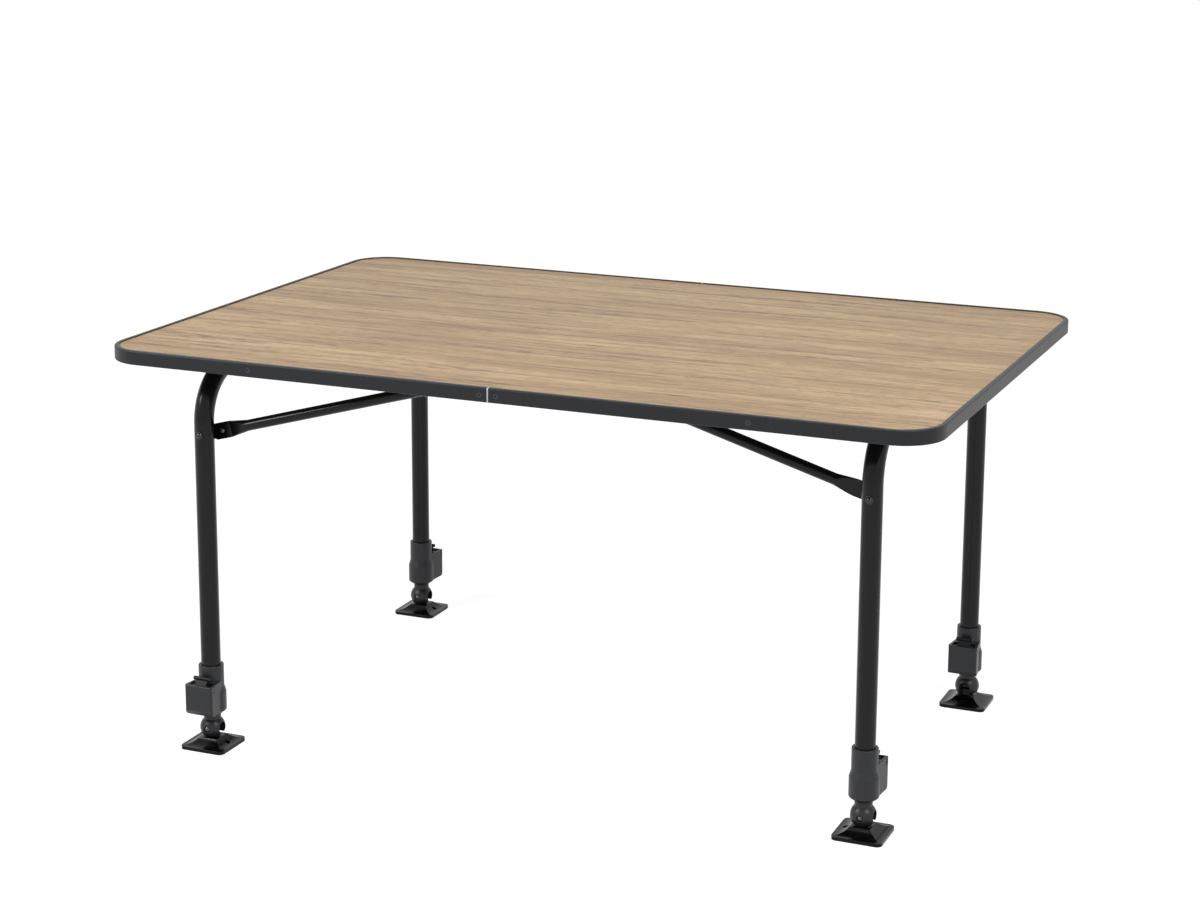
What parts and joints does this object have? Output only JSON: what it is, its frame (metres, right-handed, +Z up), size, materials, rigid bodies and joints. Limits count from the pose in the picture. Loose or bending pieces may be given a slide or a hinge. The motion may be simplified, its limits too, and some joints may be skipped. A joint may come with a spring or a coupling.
{
  "type": "camping table",
  "caption": "Folding camping table with a light wood-look top, dark metal edge, two folding tube frames and telescopic legs with tilting foot plates.",
  "frame": {"origin": "on the ground under the middle of the table top", "axes": "+X along the length of the top towards the narrower leg frame, +Y to the back, +Z up"},
  "size_m": [1.2, 0.8, 0.59],
  "materials": {
    "oak_laminate": "matte light oak decor laminate",
    "edge_aluminium": "satin black coated aluminium",
    "frame_steel": "satin black powder coat",
    "inner_leg_steel": "satin black coat",
    "clamp_nylon": "fine textured dark plastic",
    "lever_nylon": "fine textured black plastic",
    "ball_nylon": "smooth black plastic",
    "foot_nylon": "half gloss black plastic",
    "bearing_nylon": "plain black plastic",
    "black_screw_steel": "black coated steel",
    "zinc_steel": "bright zinc plated steel",
    "dark_bolt_steel": "black nickel plated steel"
  },
  "bodies": {
    "top": {"top_panel": "oak_laminate", "edge_profile_left": "edge_aluminium", "edge_profile_right": "edge_aluminium", "edge_screws": "black_screw_steel", "hinge_block_left_front": "bearing_nylon", "hinge_block_left_back": "bearing_nylon", "hinge_block_right_front": "bearing_nylon", "hinge_block_right_back": "bearing_nylon", "hinge_block_screws": "zinc_steel", "stay_guide_left_front": "bearing_nylon", "stay_guide_left_back": "bearing_nylon", "stay_guide_right_front": "bearing_nylon", "stay_guide_right_back": "bearing_nylon", "stay_guide_screws": "zinc_steel"},
    "frame_left": {"leg_frame_left": "frame_steel", "clamp_housing_left_front": "clamp_nylon", "clamp_housing_left_back": "clamp_nylon", "stay_bolts_left": "dark_bolt_steel", "stay_nuts_left": "dark_bolt_steel", "lever_pins_left": "zinc_steel"},
    "frame_right": {"leg_frame_right": "frame_steel", "clamp_housing_right_front": "clamp_nylon", "clamp_housing_right_back": "clamp_nylon", "stay_bolts_right": "dark_bolt_steel", "stay_nuts_right": "dark_bolt_steel", "lever_pins_right": "zinc_steel"},
    "stay_left_front": {"stay_left_front": "frame_steel", "stay_rivet_left_front": "zinc_steel", "slide_shoe_left_front": "bearing_nylon"},
    "inner_leg_left_front": {"inner_leg_left_front": "inner_leg_steel", "ball_joint_left_front": "ball_nylon", "foot_pin_left_front": "zinc_steel"},
    "foot_left_front": {"foot_plate_left_front": "foot_nylon"},
    "lever_left_front": {"lever_left_front": "lever_nylon"},
    "stay_left_back": {"stay_left_back": "frame_steel", "stay_rivet_left_back": "zinc_steel", "slide_shoe_left_back": "bearing_nylon"},
    "inner_leg_left_back": {"inner_leg_left_back": "inner_leg_steel", "ball_joint_left_back": "ball_nylon", "foot_pin_left_back": "zinc_steel"},
    "foot_left_back": {"foot_plate_left_back": "foot_nylon"},
    "lever_left_back": {"lever_left_back": "lever_nylon"},
    "stay_right_front": {"stay_right_front": "frame_steel", "stay_rivet_right_front": "zinc_steel", "slide_shoe_right_front": "bearing_nylon"},
    "inner_leg_right_front": {"inner_leg_right_front": "inner_leg_steel", "ball_joint_right_front": "ball_nylon", "foot_pin_right_front": "zinc_steel"},
    "foot_right_front": {"foot_plate_right_front": "foot_nylon"},
    "lever_right_front": {"lever_right_front": "lever_nylon"},
    "stay_right_back": {"stay_right_back": "frame_steel", "stay_rivet_right_back": "zinc_steel", "slide_shoe_right_back": "bearing_nylon"},
    "inner_leg_right_back": {"inner_leg_right_back": "inner_leg_steel", "ball_joint_right_back": "ball_nylon", "foot_pin_right_back": "zinc_steel"},
    "foot_right_back": {"foot_plate_right_back": "foot_nylon"},
    "lever_right_back": {"lever_right_back": "lever_nylon"}
  },
  "joints": [
    {"name": "fold_left", "type": "hinge", "parent": "top", "child": "frame_left", "pos_m": [-0.474, 0, 0.553], "axis": [0, -1, 0], "range_deg": [0, 84]},
    {"name": "fold_right", "type": "hinge", "parent": "top", "child": "frame_right", "pos_m": [0.486, 0, 0.553], "axis": [0, 1, 0], "range_deg": [0, 84]},
    {"name": "stay_turn_left_front", "type": "hinge", "parent": "frame_left", "child": "stay_left_front", "pos_m": [-0.474, -0.331, 0.464], "axis": [0, -1, 0], "range_deg": [-97, 0]},
    {"name": "leg_slide_left_front", "type": "slide", "parent": "frame_left", "child": "inner_leg_left_front", "axis": [0, 0, -1], "range_m": [0, 0.16]},
    {"name": "foot_tilt_left_front", "type": "hinge", "parent": "inner_leg_left_front", "child": "foot_left_front", "pos_m": [-0.474, -0.331, 0.028], "axis": [0, 1, 0], "range_deg": [-20, 20]},
    {"name": "lever_press_left_front", "type": "hinge", "parent": "frame_left", "child": "lever_left_front", "pos_m": [-0.474, -0.3595, 0.095], "axis": [-1, 0, 0], "range_deg": [0, 10], "stiffness_Nm_per_rad": 0.8, "springref_deg": -8.59},
    {"name": "stay_turn_left_back", "type": "hinge", "parent": "frame_left", "child": "stay_left_back", "pos_m": [-0.474, 0.331, 0.464], "axis": [0, -1, 0], "range_deg": [-97, 0]},
    {"name": "leg_slide_left_back", "type": "slide", "parent": "frame_left", "child": "inner_leg_left_back", "axis": [0, 0, -1], "range_m": [0, 0.16]},
    {"name": "foot_tilt_left_back", "type": "hinge", "parent": "inner_leg_left_back", "child": "foot_left_back", "pos_m": [-0.474, 0.331, 0.028], "axis": [0, 1, 0], "range_deg": [-20, 20]},
    {"name": "lever_press_left_back", "type": "hinge", "parent": "frame_left", "child": "lever_left_back", "pos_m": [-0.474, 0.3595, 0.095], "axis": [1, 0, 0], "range_deg": [0, 10], "stiffness_Nm_per_rad": 0.8, "springref_deg": -8.59},
    {"name": "stay_turn_right_front", "type": "hinge", "parent": "frame_right", "child": "stay_right_front", "pos_m": [0.486, -0.269, 0.464], "axis": [0, 1, 0], "range_deg": [-97, 0]},
    {"name": "leg_slide_right_front", "type": "slide", "parent": "frame_right", "child": "inner_leg_right_front", "axis": [0, 0, -1], "range_m": [0, 0.16]},
    {"name": "foot_tilt_right_front", "type": "hinge", "parent": "inner_leg_right_front", "child": "foot_right_front", "pos_m": [0.486, -0.269, 0.028], "axis": [0, 1, 0], "range_deg": [-20, 20]},
    {"name": "lever_press_right_front", "type": "hinge", "parent": "frame_right", "child": "lever_right_front", "pos_m": [0.486, -0.2405, 0.095], "axis": [1, 0, 0], "range_deg": [0, 10], "stiffness_Nm_per_rad": 0.8, "springref_deg": -8.59},
    {"name": "stay_turn_right_back", "type": "hinge", "parent": "frame_right", "child": "stay_right_back", "pos_m": [0.486, 0.269, 0.464], "axis": [0, 1, 0], "range_deg": [-97, 0]},
    {"name": "leg_slide_right_back", "type": "slide", "parent": "frame_right", "child": "inner_leg_right_back", "axis": [0, 0, -1], "range_m": [0, 0.16]},
    {"name": "foot_tilt_right_back", "type": "hinge", "parent": "inner_leg_right_back", "child": "foot_right_back", "pos_m": [0.486, 0.269, 0.028], "axis": [1, 0, 0], "range_deg": [-20, 20]},
    {"name": "lever_press_right_back", "type": "hinge", "parent": "frame_right", "child": "lever_right_back", "pos_m": [0.486, 0.2405, 0.095], "axis": [-1, 0, 0], "range_deg": [0, 10], "stiffness_Nm_per_rad": 0.8, "springref_deg": -8.59}
  ],
  "couplings": [
    {"joint": "stay_turn_left_front", "follows": "fold_left", "ratio": -1.1508},
    {"joint": "stay_turn_left_back", "follows": "fold_left", "ratio": -1.1508},
    {"joint": "stay_turn_right_front", "follows": "fold_right", "ratio": -1.1508},
    {"joint": "stay_turn_right_back", "follows": "fold_right", "ratio": -1.1508}
  ]
}
